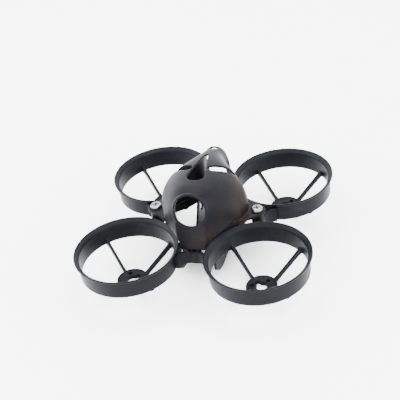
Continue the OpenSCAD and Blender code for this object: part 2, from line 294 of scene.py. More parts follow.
def merge(name: str, pieces: Sequence[Piece]) -> Piece:
    """Gathers closed pieces into one object.

    Args:
        name: name of the new object.
        pieces: the pieces, which are used up.

    Returns:
        The gathered object.
    """
    edit = bmesh.new()
    for piece in pieces:
        edit.from_mesh(piece.data)
        bpy.data.objects.remove(piece)
    mesh = bpy.data.meshes.new(name)
    edit.to_mesh(mesh)
    edit.free()
    return link(name, mesh)


def mould(piece: Piece, grain: float, passes: int = PASSES) -> None:
    """Fuses overlapping solids into one moulding with softened edges.

    Args:
        piece: the gathered solids.
        grain: size of the mesh's squares.
        passes: rounds of smoothing.
    """
    fuse = piece.modifiers.new("Fuse", "REMESH")
    fuse.mode, fuse.voxel_size = "VOXEL", grain
    ease = piece.modifiers.new("Ease", "SMOOTH")
    ease.factor, ease.iterations = SMOOTHING, passes
    freeze(piece)


def settle(
    piece: Piece, finish: Material, body: str, nodes: Sequence[str], crease: float = CREASE
) -> None:
    """Scales a piece to metres, dresses it and hands it to the frame.

    Args:
        piece: the finished piece, in millimetres.
        finish: its material.
        body: the body that it rides on.
        nodes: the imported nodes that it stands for.
        crease: angle in degrees past which an edge stays sharp.
    """
    mesh = piece.data
    mesh.transform(Matrix.Scale(MM, 4))
    mesh.materials.clear()
    mesh.materials.append(finish)
    mesh.shade_smooth()
    mesh.set_sharp_from_angle(angle=math.radians(crease))
    mesh.update()
    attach(piece, body)
    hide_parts(*nodes)
    LOG.info("%s: %d faces, rides on %s", piece.name, len(mesh.polygons), body)


# ---------- finishes ----------


def operator(operation: str, reflected: bool = False) -> Callable:
    """Makes an operator method that adds one Math node.

    Args:
        operation: the node's operation.
        reflected: whether the signal stands on the right.

    Returns:
        The method.
    """

    def apply(self: "Signal", other: object) -> "Signal":
        """Joins the two sides."""
        return self.combine(operation, other, self) if reflected else self.combine(operation, self, other)

    return apply


class Signal:
    """A shader socket that takes part in Python sums."""

    def __init__(self, graph: "Graph", socket: bpy.types.NodeSocket) -> None:
        """Wraps one output socket."""
        self.graph = graph
        self.socket = socket

    def combine(self, operation: str, first: object, second: object = 0.0) -> "Signal":
        """Adds one Math node."""
        return self.graph.node("ShaderNodeMath", {"operation": operation}, {0: first, 1: second})

    __add__, __radd__ = operator("ADD"), operator("ADD", reflected=True)
    __sub__, __rsub__ = operator("SUBTRACT"), operator("SUBTRACT", reflected=True)
    __mul__, __rmul__ = operator("MULTIPLY"), operator("MULTIPLY", reflected=True)
    __pow__ = operator("POWER")

    def __abs__(self) -> "Signal":
        """Size without its sign."""
        return self.combine("ABSOLUTE", self)

    def wave(self) -> "Signal":
        """Sine."""
        return self.combine("SINE", self)

    def band(self, low: float, high: float) -> "Signal":
        """Rises from 0 at low to 1 at high, and stays between them."""
        return self.graph.node("ShaderNodeMapRange", {"clamp": True}, {0: self, 1: low, 2: high})


class Graph:
    """A material and the nodes that make it."""

    def __init__(self, name: str) -> None:
        """Starts an empty material."""
        self.material = bpy.data.materials.new(name)
        self.material.use_nodes = True
        self.tree = self.material.node_tree
        self.tree.nodes.clear()
        self.spot = self.node("ShaderNodeTexCoord", output="Object")

    def node(
        self, kind: str, settings: dict | None = None, values: dict | None = None, output: object = 0
    ) -> Signal:
        """Adds a node.

        Args:
            kind: the node's type.
            settings: its properties, which are set first.
            values: numbers or signals for its sockets.
            output: the output that is wanted.

        Returns:
            That output; a node with no outputs gives a signal with no socket.
        """
        made = self.tree.nodes.new(kind)
        for name, value in (settings or {}).items():
            setattr(made, name, value)
        for key, value in (values or {}).items():
            if isinstance(value, Signal):
                self.tree.links.new(value.socket, made.inputs[key])
            else:
                made.inputs[key].default_value = value
        return Signal(self, made.outputs[output] if made.outputs else None)

    def noise(
        self, size: float, detail: float, rough: float, stretch: tuple = (1, 1, 1), turn: tuple = (0, 0, 0)
    ) -> Signal:
        """Adds a noise whose features have this size in millimetres.

        Args:
            size: size of the features.
            detail: rounds of finer features.
            rough: strength of the finer ones.
            stretch: how much finer it is along each axis.
            turn: turn of those axes, in radians.

        Returns:
            The noise, from 0 to 1.
        """
        spot = self.node("ShaderNodeMapping", {}, {"Vector": self.spot, "Rotation": turn, "Scale": stretch})
        values = {"Vector": spot, "Scale": 1 / (size * MM), "Detail": detail, "Roughness": rough}
        return self.node("ShaderNodeTexNoise", {}, values)

    def mix(self, share: object, first: object, second: object) -> Signal:
        """Blends two colours."""
        return self.node("ShaderNodeMix", {"data_type": "RGBA"}, {0: share, 6: first, 7: second}, output=2)

    def finish(self, values: dict, height: Signal, depth: float, strength: float) -> Material:
        """Closes the material.

        Args:
            values: what the surface shader gets.
            height: relief of the surface.
            depth: depth of that relief in millimetres.
            strength: strength of the relief.

        Returns:
            The material.
        """
        bump = {"Height": height, "Distance": depth * MM, "Strength": strength}
        normal = self.node("ShaderNodeBump", {}, bump, output="Normal")
        surface = self.node("ShaderNodeBsdfPrincipled", {}, {**values, "Normal": normal})
        self.node("ShaderNodeOutputMaterial", {}, {"Surface": surface})
        return self.material


@dataclass(frozen=True)
class MouldedPlastic:
    """Satin moulded nylon with grain, flow marks, rubbed places and fine scratches, and an optional painted
    warm reflection in random patches.
    """

    name: str
    deep: Colour
    bloom: Colour
    rubbed: Colour
    roughness: float
    grain: float = 0.16
    flow: float = 5.0
    specular: float = 0.12
    # Optional painted warm reflection colour, laid in random patches; the patch size follows.
    warm_reflection: Colour | None = None
    cloud_size: float = 14.0
    reflection_patch_size: float = 22.0
    patchy: float = 0.18
    grainy: float = 0.1
    polish: float = 0.07
    relief: float = 0.03
    relief_strength: float = 0.35

    def build(self) -> Material:
        """Makes the material."""
        graph = Graph(self.name)
        grain = graph.noise(self.grain, 3, 0.6)
        cloud = graph.noise(self.cloud_size, 4, 0.55)
        flow = graph.noise(self.flow, 2, 0.5, stretch=(1, 1, 4))
        lines = graph.noise(1.1, 2, 0.7, stretch=(0.06, 1.6, 1.0), turn=(0.3, 0.5, 0.9)).band(0.66, 0.74)
        cross = graph.noise(0.9, 2, 0.7, stretch=(1.5, 0.05, 1.2), turn=(0.8, 0.1, -0.4)).band(0.68, 0.75)
        rub = cloud.band(0.52, 0.75) * flow.band(0.4, 0.7)
        scratches = (lines + cross) * 0.5
        colour = graph.mix(cloud.band(0.35, 0.7) * 0.7, self.deep, self.bloom)
        # Painted warm reflection: a brownish tint mixed into random patches of the surface.
        if self.warm_reflection:
            colour = graph.mix(graph.noise(self.reflection_patch_size, 2, 0.4).band(0.45, 0.62) * 0.8, colour, self.warm_reflection)
        colour = graph.mix(rub * 0.35 + scratches * 0.3, colour, self.rubbed)
        rough = self.roughness + (cloud - 0.5) * self.patchy + (grain - 0.5) * self.grainy - rub * self.polish
        height = grain + flow * 0.5 - scratches * 0.9
        values = {"Base Color": colour, "Roughness": rough, "Specular IOR Level": self.specular}
        return graph.finish(values, height, self.relief, self.relief_strength)


@dataclass(frozen=True)
class TurnedSteel:
    """Bright plated screw steel, turned about each screw's axis, with painted shade in its cross recess."""

    name: str
    bright: Colour
    dull: Colour
    # Dark colour painted into the cross recess as shade.
    recess_shade: Colour
    axis_x: float
    recess_r: float
    recess_z: float
    roughness: float = 0.3
    pitch: float = 0.12
    speck_size: float = 0.09
    cloud_size: float = 1.3
    recess_slope: float = 0.35
    relief: float = 0.008
    relief_strength: float = 0.4

    def build(self) -> Material:
        """Makes the material."""
        graph = Graph(self.name)
        split = graph.node("ShaderNodeSeparateXYZ", {}, {0: graph.spot})
        x, y, z = (Signal(graph, split.socket.node.outputs[k]) for k in range(3))
        off = abs(x) - self.axis_x * MM
        radius = (off * off + y * y) ** 0.5
        turning = (radius * (2 * math.pi / (self.pitch * MM))).wave() * 0.5 + 0.5
        speck = graph.noise(self.speck_size, 3, 0.6)
        cloud = graph.noise(self.cloud_size, 3, 0.5)
        # Mask of the cross recess, where painted shade darkens the colour, roughens it and dulls the metal.
        inside = 1 - radius.band(self.recess_r * 0.85 * MM, self.recess_r * MM)
        painted_recess_shade = inside * (1 - z.band((self.recess_z - self.recess_slope) * MM, self.recess_z * MM))
        colour = graph.mix(cloud.band(0.4, 0.7), self.bright, self.dull)
        colour = graph.mix(painted_recess_shade * 0.85, colour, self.recess_shade)
        rough = self.roughness + (speck - 0.5) * 0.2 + (cloud - 0.5) * 0.15 + painted_recess_shade * 0.3
        height = turning * 0.4 + speck
        values = {"Base Color": colour, "Roughness": rough, "Metallic": 1 - painted_recess_shade * 0.5}
        return graph.finish(values, height, self.relief, self.relief_strength)


@dataclass(frozen=True)
class StudioPaper:
    """Pale paper under the object."""

    name: str = "studio_paper"
    shade: Colour = (0.9, 0.9, 0.905, 1)
    fibre: Colour = (0.93, 0.93, 0.93, 1)
    cloud_size: float = 60.0
    tooth: float = 0.6
    roughness: float = 0.85
    relief: float = 0.02
    relief_strength: float = 0.1

    def build(self) -> Material:
        """Makes the material."""
        graph = Graph(self.name)
        colour = graph.mix(graph.noise(self.cloud_size, 2, 0.5), self.shade, self.fibre)
        values = {"Base Color": colour, "Roughness": self.roughness}
        return graph.finish(values, graph.noise(self.tooth, 2, 0.5), self.relief, self.relief_strength)


# ---------- sizes shared by the sub-assemblies ----------


@dataclass(frozen=True)
class Layout:
    """Sizes in millimetres that sub-assemblies share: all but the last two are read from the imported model."""

    half: float
    duct_lift: float
    duct_top: float
    lip_r: float
    lug_offset: float
    lug_hole_r: float
    motor_r: float
    motor_hole_r: float
    duct_wall: float = 0.7
    lip_reach: float = 1.05

    @classmethod
    def from_frame(cls) -> "Layout":
        """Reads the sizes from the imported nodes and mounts."""
        low, high = (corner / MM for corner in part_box("duct_front_right"))
        mounts = {mount["name"]: mount for mount in frame["record"]["mounts"]}
        motor, board = mounts["motor_front_right"], mounts["board_lugs"]
        return cls(
            half=motor["pos_m"][0] / MM,
            duct_lift=low.z,
            duct_top=high.z,
            lip_r=(high.x - low.x) / 2,
            lug_offset=board["dims"]["spacing_y_mm"] / 2,
            lug_hole_r=board["dims"]["hole_r_mm"],
            motor_r=motor["dims"]["pcd_mm"] / 2,
            motor_hole_r=motor["dims"]["hole_r_mm"],
        )

    @property
    def duct_r(self) -> float:
        """Outer radius of a duct's wall."""
        return self.lip_r - self.lip_reach

    @property
    def bore_r(self) -> float:
        """Inner radius of a duct's wall."""
        return self.duct_r - self.duct_wall

    def centre(self, corner: Corner) -> tuple[float, float]:
        """Centre of a duct."""
        return corner.value[0] * self.half, corner.value[1] * self.half


# ---------- ducts, spokes and motor mounts ----------


@dataclass
class SpokeRing:
    """A tree that repeats a spoke round a motor mount."""

    count: int = 4
    first_turn: float = math.pi / 4

    def tree(self) -> bpy.types.NodeTree:
        """Makes the tree, with named inputs.

        Returns:
            The tree, which ends in Realize Instances and Set Material.
        """
        tree = bpy.data.node_groups.new("spoke_ring", "GeometryNodeTree")
        inputs = {"Spoke": "Geometry", "Count": "Int", "First turn": "Float", "Finish": "Material"}
        for name, kind in inputs.items():
            tree.interface.new_socket(name, in_out="INPUT", socket_type=f"NodeSocket{kind}")
        tree.interface.new_socket("Spokes", in_out="OUTPUT", socket_type="NodeSocketGeometry")

        def add(kind: str, links: dict, **settings: object) -> bpy.types.Node:
            """Adds a node, its settings and its links."""
            made = tree.nodes.new(kind)
            for key, value in settings.items():
                setattr(made, key, value)
            for key, value in links.items():
                if isinstance(value, bpy.types.NodeSocket):
                    tree.links.new(value, made.inputs[key])
                else:
                    made.inputs[key].default_value = value
            return made

        given = add("NodeGroupInput", {}).outputs
        points = add("GeometryNodePoints", {"Count": given["Count"]})
        step = add("ShaderNodeMath", {0: 2 * math.pi, 1: given["Count"]}, operation="DIVIDE")
        index = add("GeometryNodeInputIndex", {})
        turn = add("ShaderNodeMath", {0: index.outputs[0], 1: step.outputs[0]}, operation="MULTIPLY")
        whole = add("ShaderNodeMath", {0: turn.outputs[0], 1: given["First turn"]}, operation="ADD")
        euler = add("ShaderNodeCombineXYZ", {"Z": whole.outputs[0]})
        rotation = add("FunctionNodeEulerToRotation", {0: euler.outputs[0]})
        links = {"Points": points.outputs[0], "Instance": given["Spoke"], "Rotation": rotation.outputs[0]}
        spokes = add("GeometryNodeInstanceOnPoints", links)
        real = add("GeometryNodeRealizeInstances", {0: spokes.outputs[0]})
        dressed = add("GeometryNodeSetMaterial", {"Geometry": real.outputs[0], "Material": given["Finish"]})
        add("NodeGroupOutput", {0: dressed.outputs[0]})
        return tree

    def repeat(self, spoke: Piece, finish: Material) -> None:
        """Repeats a spoke in place and freezes the result.

        Args:
            spoke: one spoke, along +X.
            finish: its material.
        """
        tree = self.tree()
        keys = {item.name: item.identifier for item in tree.interface.items_tree if item.in_out == "INPUT"}
        step = spoke.modifiers.new("Ring", "NODES")
        step.node_group = tree
        step[keys["Count"]] = self.count
        step[keys["First turn"]] = self.first_turn
        step[keys["Finish"]] = finish
        freeze(spoke)


@dataclass
class DuctUnit:
    """One duct with its spokes and motor mount."""

    layout: Layout
    corner: Corner
    finish: Material
    lip_t: float = 0.55
    flare_h: float = 1.45
    draft: float = 0.15
    edge_r: float = 0.16
    spoke_t: float = 0.9
    spoke_h: float = 2.2
    spoke_rise: float = 1.7
    root: float = 0.65
    mount_r: float = 5.4
    mount_t: float = 1.6
    rim_h: float = 0.25
    rim_w: float = 0.5
    rim_slope: float = 0.1
    mount_edge_r: float = 0.14
    hole_ease: float = 0.12
    notch_share: float = 0.4
    screw_angles: tuple[int, ...] = (60, 180, 300)
    lip_flat: float = 0.3
    shoulder: tuple[float, float] = (0.35, 0.42)
    mouth_low: tuple[float, float] = (0.2, 0.3)
    mouth_top: float = 0.75
    spoke_edge_r: float = 0.28
    overlap: float = 0.25
    flat: float = 0.03
    turns: int = 192
    mount_turns: int = 128
    stations: int = 25
    duct_crease: float = 60.0
    spoke_crease: float = 50.0
    mount_crease: float = 40.0
    shaft_hole_r: float = 2.0
    wire_notch_r: float = 0.95

    def duct(self) -> Piece:
        """Makes the wall, bell mouth and lip."""
        low, top = self.layout.duct_lift, self.layout.duct_top
        bore, wall = self.layout.bore_r, self.layout.duct_r
        lip, reach = self.layout.lip_r, self.layout.lip_reach
        mouth = top - self.flare_h
        outline = [
            (bore, low),
            (wall - self.draft, low),
            (wall, mouth),
            (wall + reach * self.shoulder[0], mouth + self.flare_h * self.shoulder[1]),
            (lip, top - self.lip_t),
            (lip, top),
            (lip - self.lip_flat, top),
            (bore + reach * self.mouth_top, top - self.lip_t),
            (bore + reach * self.mouth_low[0], mouth + self.flare_h * self.mouth_low[1]),
            (bore, mouth),
        ]
        centre = self.layout.centre(self.corner)
        return lathe(f"{self.corner.label}_duct", fillet(outline, self.edge_r), self.turns, centre)

    def spoke(self) -> Piece:
        """Makes one spoke along +X, wider at both roots."""
        start, end = self.mount_r - self.overlap, self.layout.bore_r + self.overlap
        top_end = self.layout.duct_lift + self.spoke_rise
        loops = []
        for t in np.linspace(0, 1, self.stations):
            x = start + t * (end - start)
            low = max(0.0, t - self.flat) / (1 - self.flat) * (top_end - self.spoke_h)
            near_end = math.exp(-(end - x) / self.root)
            high = self.mount_t + t * (top_end - self.mount_t) + self.root * near_end
            wide = self.spoke_t * (1 + self.root * (math.exp(-(x - start) / self.root) + near_end)) / 2
            section = fillet([(-wide, low), (wide, low), (wide, high), (-wide, high)], self.spoke_edge_r)
            loops.append([(x, y, z) for y, z in section])
        return loft(f"{self.corner.label}_spokes", loops)

    def mount(self) -> Piece:
        """Makes the motor mount with its rim, screw holes and wire notch."""
        top = self.mount_t
        outline = [
            (self.shaft_hole_r, 0),
            (self.mount_r, 0),
            (self.mount_r, top + self.rim_h),
            (self.mount_r - self.rim_w, top + self.rim_h),
            (self.mount_r - self.rim_w - self.rim_slope, top),
            (self.shaft_hole_r, top),
        ]
        centre = np.array(self.layout.centre(self.corner))
        sign = np.array(self.corner.value)
        outline = fillet(outline, self.mount_edge_r, 3)
        plate = lathe(f"{self.corner.label}_motor_mount", outline, self.mount_turns, tuple(centre))
        for angle in self.screw_angles:
            way = np.array([math.cos(math.radians(angle)), math.sin(math.radians(angle))])
            at = tuple(centre + sign * way * self.layout.motor_r)
            cut(plate, drill(self.layout.motor_hole_r, 0, top, at, self.hole_ease))
        inward = centre - sign * (self.shaft_hole_r + self.notch_share * self.wire_notch_r) / math.sqrt(2)
        cut(plate, drill(self.wire_notch_r, 0, top, tuple(inward), self.hole_ease))
        return plate

    def build(self) -> None:
        """Makes and settles the three pieces."""
        label = self.corner.label
        settle(self.duct(), self.finish, "frame", [f"duct_{label}"], self.duct_crease)
        spokes = self.spoke()
        SpokeRing().repeat(spokes, self.finish)
        spokes.data.transform(Matrix.Translation((*self.layout.centre(self.corner), 0)))
        settle(spokes, self.finish, "frame", [f"spokes_{label}"], self.spoke_crease)
        settle(self.mount(), self.finish, "frame", [f"motor_mount_{label}"], self.mount_crease)


# ---------- brackets with their lugs ----------


@dataclass
class Bracket:
    """A curved wall between two ducts, with the lug that is let into it."""

    layout: Layout
    side: Side
    finish: Material
    lug_top: float
    lug_h: float
    radius: float = 4.7
    wall: float = 0.9
    end_in: float = 1.0
    raise_: float = 0.4
    height: float = 4.1
    saddle_r: float = 6.8
    lug_r: float = 2.3
    lug_bed: float = 0.85
    lug_web_h: float = 2.1
    lug_edge_r: float = 0.15
    lug_turns: int = 96
    edge_r: float = 0.12
    steps: int = 121
    overlap: float = 0.1
    grain: float = 0.1
    flare_h: float = 1.45
    bite: float = 0.3

    @property
    def low(self) -> float:
        """Height of the lower edge."""
        return self.layout.duct_lift + self.raise_

    @property
    def centre_y(self) -> float:
        """Distance from the middle to the centre of the wall's arc."""
        reach = self.layout.duct_r + self.radius
        touch = self.layout.half + math.sqrt(max(0.0, reach**2 - self.layout.half**2))
        return max(touch, self.layout.lug_offset + self.lug_bed + self.wall + self.radius)

    def upper_edge(self, x: float) -> float:
        """Height of the wall's upper edge at x."""
        limit = self.layout.duct_top - self.flare_h
        rise = self.saddle_r - math.sqrt(max(0.0, self.saddle_r**2 - x * x))
        return min(limit, self.low + self.height + rise)

    def arc(self) -> Piece:
        """Makes the curved wall."""
        span = math.acos(self.end_in / (self.radius + self.wall / 2))
        loops = []
        for a in np.linspace(-span, span, self.steps):
            across, along = math.sin(a), -math.cos(a)
            high = self.upper_edge((self.radius + self.wall / 2) * across)
            near, far = self.radius, self.radius + self.wall
            section = fillet([(near, self.low), (far, self.low), (far, high), (near, high)], self.edge_r, 2)
            loops.append([(r * across, self.centre_y + r * along, z) for r, z in section])
        return loft("arc", loops)

    def root(self, sign: int) -> Piece:
        """Makes the short web that joins one end of the wall to its duct."""
        end = self.centre_y - self.end_in
        start, reach = self.radius + self.overlap, self.layout.half - self.layout.duct_r + self.bite
        corners = [(start, end - self.wall), (reach, end - self.wall), (reach, end), (start, end)]
        return prism("root", [(sign * x, y) for x, y in corners], self.low, self.upper_edge(self.saddle_r))

    def build(self) -> None:
        """Makes the wall, lug and web as one moulding and settles it."""
        lug_y, bore = self.layout.lug_offset, self.layout.lug_hole_r
        arc = self.arc()
        low, high = self.lug_top - self.lug_h, self.lug_top
        outline = [(bore, low), (self.lug_r, low), (self.lug_r, high), (bore, high)]
        ring = lathe("lug", fillet(outline, self.lug_edge_r, 2), self.lug_turns, (0, lug_y))
        web_high = self.low + self.height
        web_low = web_high - self.lug_web_h
        wall_y = self.centre_y - self.radius - self.wall / 2
        wide = self.lug_r - self.lug_edge_r
        corners = [(-wide, lug_y), (wide, lug_y), (wide, wall_y), (-wide, wall_y)]
        web = prism("web", corners, web_low, web_high)
        for part in (arc, web):
            cut(part, drill(bore, low - 2, high + 1, (0, lug_y)))
        label = self.side.label
        whole = merge(f"{label}_bracket", [arc, ring, web, self.root(-1), self.root(1)])
        mould(whole, self.grain)
        whole.data.transform(Matrix.Rotation(math.radians(self.side.value), 4, "Z"))
        settle(whole, self.finish, "frame", [f"bracket_{label}", f"lug_{label}"])


# ---------- battery tray ----------


@dataclass
class BatteryTray:
    """Two deep sides and two straps under the middle of the airframe."""

    layout: Layout
    finish: Material
    width: float = 12.4
    wall: float = 0.8
    strap_t: float = 0.8
    strap_len: float = 4.0
    strap_y: float = 9.0
    rail: float = 4.0
    lift: float = 4.0
    scoop: float = 5.8
    ledge: float = 12.0
    window_r: float = 1.5
    window_y: float = 13.6
    joint_in: float = 3.4
    tip_in: float = 2.7
    keel: float = 6.2
    toe: float = 3.2
    toe_z: float = 0.5
    tip_z: float = 1.4
    joint_drop: float = 3.0
    ledge_run: float = 1.0
    ledge_drop: float = 1.1
    belly: float = 0.2
    corner_r: float = 0.9
    window_drop: float = 0.6
    hole_ease: float = 0.1
    bite: float = 0.3
    turns: int = 160
    grain: float = 0.13

    def outline(self) -> Outline:
        """Outline of a side, by distance along the airframe and height."""
        lift = self.layout.duct_lift
        high, joint = lift + self.lift, self.layout.half - self.joint_in
        tip = self.layout.lug_offset - self.tip_in
        half = [
            (tip - self.keel, 0),
            (tip - self.toe, self.toe_z),
            (tip, self.tip_z),
            (joint, lift - self.joint_drop),
            (joint, high),
            (self.ledge, high),
            (self.ledge - self.ledge_run, high - self.ledge_drop),
            ((self.scoop + self.ledge) / 2, lift - self.belly),
            (self.scoop, self.rail),
        ]
        return fillet(half + [(-y, z) for y, z in reversed(half)], self.corner_r)

    def side(self, sign: int) -> Piece:
        """Makes one side, trimmed where it meets the ducts."""
        inner = sign * self.width / 2
        low, high = sorted((inner, inner + sign * self.wall))
        panel = prism("side", self.outline(), low, high)
        for y in (-self.window_y, self.window_y):
            at = (y, self.layout.duct_lift - self.window_drop)
            cut(panel, drill(self.window_r, low, high, at, self.hole_ease))
        panel.data.transform(Matrix(((0, 0, 1, 0), (1, 0, 0, 0), (0, 1, 0, 0), (0, 0, 0, 1))))
        lift = self.layout.duct_lift
        for y in (-self.layout.half, self.layout.half):
            at = (sign * self.layout.half, y)
            outer = circle(self.layout.duct_r - self.bite, at, self.turns)
            cut(panel, prism("trim", outer, lift, self.layout.duct_top + 2 * MARGIN))
            inner = circle(self.layout.bore_r, at, self.turns)
            cut(panel, prism("trim", inner, -MARGIN, lift + OVERRUN))
        return panel

    def strap(self, sign: int) -> Piece:
        """Makes one strap with its hole."""
        x, y, reach = self.width / 2 + self.wall / 2, sign * self.strap_y, self.strap_len / 2
        corners = [(-x, y - reach), (x, y - reach), (x, y + reach), (-x, y + reach)]
        band = prism("strap", corners, 0, self.strap_t)
        cut(band, drill(self.strap_len / 4, 0, self.strap_t, (0, y), self.hole_ease))
        return band

    def build(self) -> None:
        """Makes the sides and straps as one moulding and settles it."""
        parts = [self.side(s) for s in (-1, 1)] + [self.strap(s) for s in (-1, 1)]
        whole = merge("battery_tray", parts)
        mould(whole, self.grain)
        nodes = ["tray_side_left", "tray_side_right", "tray_strap_front", "tray_strap_rear"]
        settle(whole, self.finish, "frame", nodes)


# ---------- canopy ----------


@dataclass
class Canopy:
    """The domed shell with its camera rim and two screw ears."""

    layout: Layout
    finish: Material
    length: float = 40.4
    lead: float = 19.6
    width: float = 30.6
    nose_w: float = 10.6
    tail_w: float = 9.6
    tail_start: float = 18.2
    base_z: float = 12.9
    height: float = 20.9
    crown_lead: float = 10.5
    nose_drop: float = 3.7
    tail_drop: float = 5.0
    shell_t: float = 0.8
    lean: float = 2.2
    lean_share: float = 0.3
    swell: float = 1.6
    slope: float = 2.4
    square_mid: float = 2.05
    square_end: float = 2.5
    waist_z: float = 5.5
    lip_gap: float = 0.4
    camera_hole_r: float = 5.4
    camera_z: float = 14.8
    camera_set: float = 1.6
    camera_tilt: float = 18.0
    rim_w: float = 0.8
    rim_proud: float = 0.35
    vent_r: float = 3.1
    vent_lead: float = 5.0
    vent_tail: float = 10.0
    vent_point_r: float = 0.5
    louvre_at: tuple[float, float] = (6.85, 2.25)
    louvre_len: float = 6.2
    louvre_w: float = 2.8
    louvre_turn: float = 31.0
    aerial_hole_y: float = 18.6
    aerial_hole_r: float = 1.5
    ear_z: float = 15.1
    ear_t: float = 1.1
    ear_r: float = 3.0
    ear_hole_r: float = 1.15
    ear_root: tuple[float, float] = (8.0, 9.6)
    ear_neck: tuple[float, float] = (12.6, 7.6)
    rings: int = 130
    facets: int = 60
    skirt_share: float = 0.8
    crowding: float = 1.4
    turns: int = 160
    hole_turns: int = 128
    tool_front: float = -4.0
    tool_back: float = 8.0
    ear_run: float = 1.2
    ear_share: float = 0.92
    ear_turns: int = 96
    lip_turns: int = 240
    skirt_steps: int = 16
    vent_steps: int = 40
    point_steps: int = 16
    louvre_steps: int = 16
    tool_rise: float = 5.0
    grain: float = 0.27

    def half_width(self, y: float) -> float:
        """Half width at y: swelling from the nose, then a half wave down to the tail."""
        if y < 0:
            share, end = 1 - min(1.0, -y / self.lead) ** self.swell, self.nose_w
        else:
            share, end = (1 + math.cos(math.pi * min(1.0, y / self.tail_start))) / 2, self.tail_w
        return (end + (self.width - end) * share) / 2

    def crown(self, y: float) -> float:
        """Height of the crown above the base at y."""
        ahead = (-self.crown_lead - y) / (self.lead - self.crown_lead)
        if ahead > 0:
            return self.height - self.nose_drop * (1 - math.sqrt(max(0.0, 1 - ahead**2)))
        behind = (y + self.crown_lead) / (self.length - self.lead + self.crown_lead)
        return self.height - self.tail_drop * behind**self.slope

    def lip_limit(self, y: float) -> float:
        """Half width that keeps inside the ducts' lips at y."""
        keep, off = self.layout.lip_r + self.lip_gap, self.layout.half - abs(y)
        return self.layout.half - math.sqrt(keep**2 - off**2) if keep > off else self.width

    def ring(self, share: float, inset: float, drop: float) -> list[tuple[float, float, float]]:
        """One loop of the form, from its right foot over the crown to its left foot.

        Args:
            share: place along the canopy, from 0 at the nose to 1 at the tail.
            inset: how far inside the outer form it runs.
            drop: how far below the base it starts.

        Returns:
            The loop's points.
        """
        y0 = -self.lead + inset + share * (self.length - inset)
        y = -self.lead + share * self.length
        wide, crown = self.half_width(y) - inset, self.crown(y) - inset
        foot = min(wide, self.lip_limit(y0) - max(inset, 0.0))
        skirt = self.skirt_share * (self.layout.duct_top + self.lip_gap - self.base_z)
        power = 2 / (self.square_mid + (self.square_end - self.square_mid) * min(1.0, abs(y) / self.lead))
        half = []
        for z in np.linspace(-drop, self.waist_z, self.skirt_steps):
            s = min(1.0, max(0.0, (z - skirt) / (self.waist_z - skirt)))
            half.append((foot + (wide - foot) * s * s * (3 - 2 * s), z))
        for k in range(1, self.facets + 1):
            a = math.pi / 2 * k / self.facets
            rise = (crown - self.waist_z) * math.sin(a) ** power
            half.append((wide * max(0.0, math.cos(a)) ** power, self.waist_z + rise))
        slope = self.lean * max(0.0, 1 - share / self.lean_share) ** 2 / self.height
        right = [(x, y0 + slope * z, self.base_z + z) for x, z in half]
        return right + [(-x, y, z) for x, y, z in reversed(right[:-1])]

    def form(self, inset: float = 0.0, drop: float = 0.0, grow: float = 0.0) -> Piece:
        """Makes the solid form; grow lengthens its tail."""
        loops = [self.ring((j / self.rings) ** self.crowding, inset, drop) for j in range(self.rings + 1)]
        loops[-1] = [(x, y + grow, z) for x, y, z in loops[-1]]
        return loft("form", loops)

    def to_camera(self, piece: Piece) -> Piece:
        """Moves a piece made about +Z to the camera opening, facing forwards."""
        spot = Matrix.Translation((0, -self.lead + self.camera_set, self.base_z + self.camera_z))
        piece.data.transform(spot @ Matrix.Rotation(math.radians(90 - self.camera_tilt), 4, "X"))
        return piece

    def vents(self) -> list[Piece]:
        """Makes the tools for the crown vent, side vents and aerial hole."""
        low, high = self.base_z + self.waist_z, self.base_z + self.height + self.tool_rise
        reach = self.vent_tail + self.vent_lead
        lean = math.asin((self.vent_r - self.vent_point_r) / reach)
        front = sweep(math.pi - lean, math.pi + 2 * lean, self.vent_steps)
        tail = sweep(lean, math.pi - 2 * lean, self.point_steps)
        teardrop = arc_points(self.vent_r, (0, -self.vent_lead), front)
        teardrop += arc_points(self.vent_point_r, (0, self.vent_tail), tail)
        tools = [prism("vent", teardrop, low, high)]
        for sign in (-1, 1):
            turn = math.radians(sign * self.louvre_turn)
            arc = np.linspace(-math.pi / 2, math.pi / 2, self.louvre_steps)
            far, half = self.louvre_len / 2, self.louvre_w / 2
            slot = arc_points(half, (far, 0), arc) + arc_points(half, (-far, 0), arc + math.pi)
            slot = spin(slot, turn, (sign * self.louvre_at[0], self.louvre_at[1]))
            tools.append(prism("louvre", slot, self.base_z + self.height / 2, high))
        tools.append(prism("aerial", circle(self.aerial_hole_r, (0, self.aerial_hole_y)), low, high))
        return tools

    def bracket_space(self) -> Piece:
        """Makes the tool for the space round the rear bracket and its saddle."""
        bracket = Bracket(self.layout, Side.REAR, self.finish, 0, 0)
        at, top = bracket.centre_y, self.layout.duct_top - bracket.flare_h + self.lip_gap
        reach = bracket.radius + bracket.wall + self.lip_gap
        space = prism("space", circle(reach, (0, at), self.turns), self.base_z - 2 * MARGIN, top)
        axis_z = bracket.low + bracket.height + bracket.saddle_r
        bar = circle(bracket.saddle_r - self.lip_gap, (0, axis_z), self.turns)
        cut(space, loft("saddle", [[(x, y, z) for x, z in bar] for y in (0, 2 * at)]))
        return space

